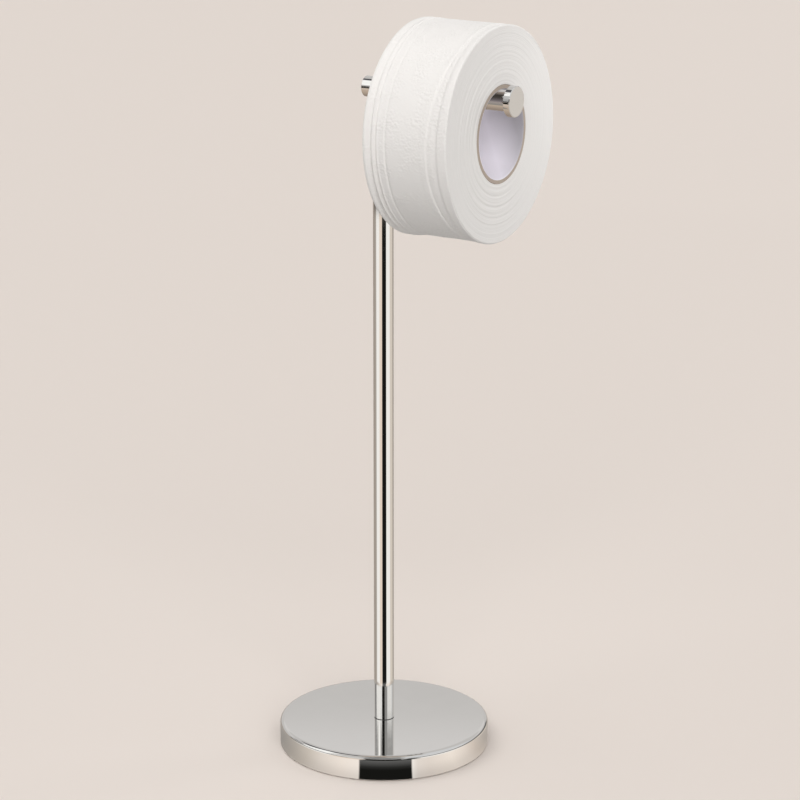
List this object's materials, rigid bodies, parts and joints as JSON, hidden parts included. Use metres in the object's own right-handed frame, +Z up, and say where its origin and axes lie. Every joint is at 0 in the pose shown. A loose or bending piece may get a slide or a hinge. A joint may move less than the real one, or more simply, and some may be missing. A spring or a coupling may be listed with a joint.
{
  "type": "freestanding toilet paper holder",
  "caption": "Freestanding toilet paper holder: round weighted base, slim pole, level arm with a round end cap, and a large paper roll that slides and turns on the arm.",
  "frame": {"origin": "centre of the underside of the base, on the floor", "axes": "+Z up along the pole, +X along the arm towards its end cap, +Y to the arm's left"},
  "size_m": [0.2384, 0.2, 0.7036],
  "materials": {
    "polished_steel": "polished",
    "cast_iron": "matte",
    "pad_rubber": "matte",
    "zinc_steel": "satin",
    "gasket_rubber": "matte",
    "core_board": "matte",
    "tissue": "matte"
  },
  "bodies": {
    "stand": {"base_cover": "polished_steel", "base_weight": "cast_iron", "base_pad": "pad_rubber", "base_bolt": "zinc_steel", "base_flat_washer": "zinc_steel", "base_spring_washer": "zinc_steel", "pole_gasket": "gasket_rubber", "pole_foot_insert": "zinc_steel", "pole_tube": "polished_steel", "pole_grub_screw": "zinc_steel", "arm_tube": "polished_steel", "arm_block": "zinc_steel", "arm_spigot": "zinc_steel", "joint_screw": "zinc_steel", "arm_rear_plug": "polished_steel", "arm_front_insert": "zinc_steel", "cap_stud": "zinc_steel", "end_cap": "polished_steel"},
    "core": {"roll_core": "core_board"},
    "paper": {"paper_roll": "tissue"}
  },
  "joints": [
    {"name": "roll_slide", "type": "slide", "parent": "stand", "child": "core", "axis": [1, 0, 0], "range_m": [-0.028, 0.0079]},
    {"name": "roll_spin", "type": "hinge", "parent": "core", "child": "paper", "pos_m": [0.08092, 0, 0.60613], "axis": [1, 0, 0], "continuous": true}
  ]
}
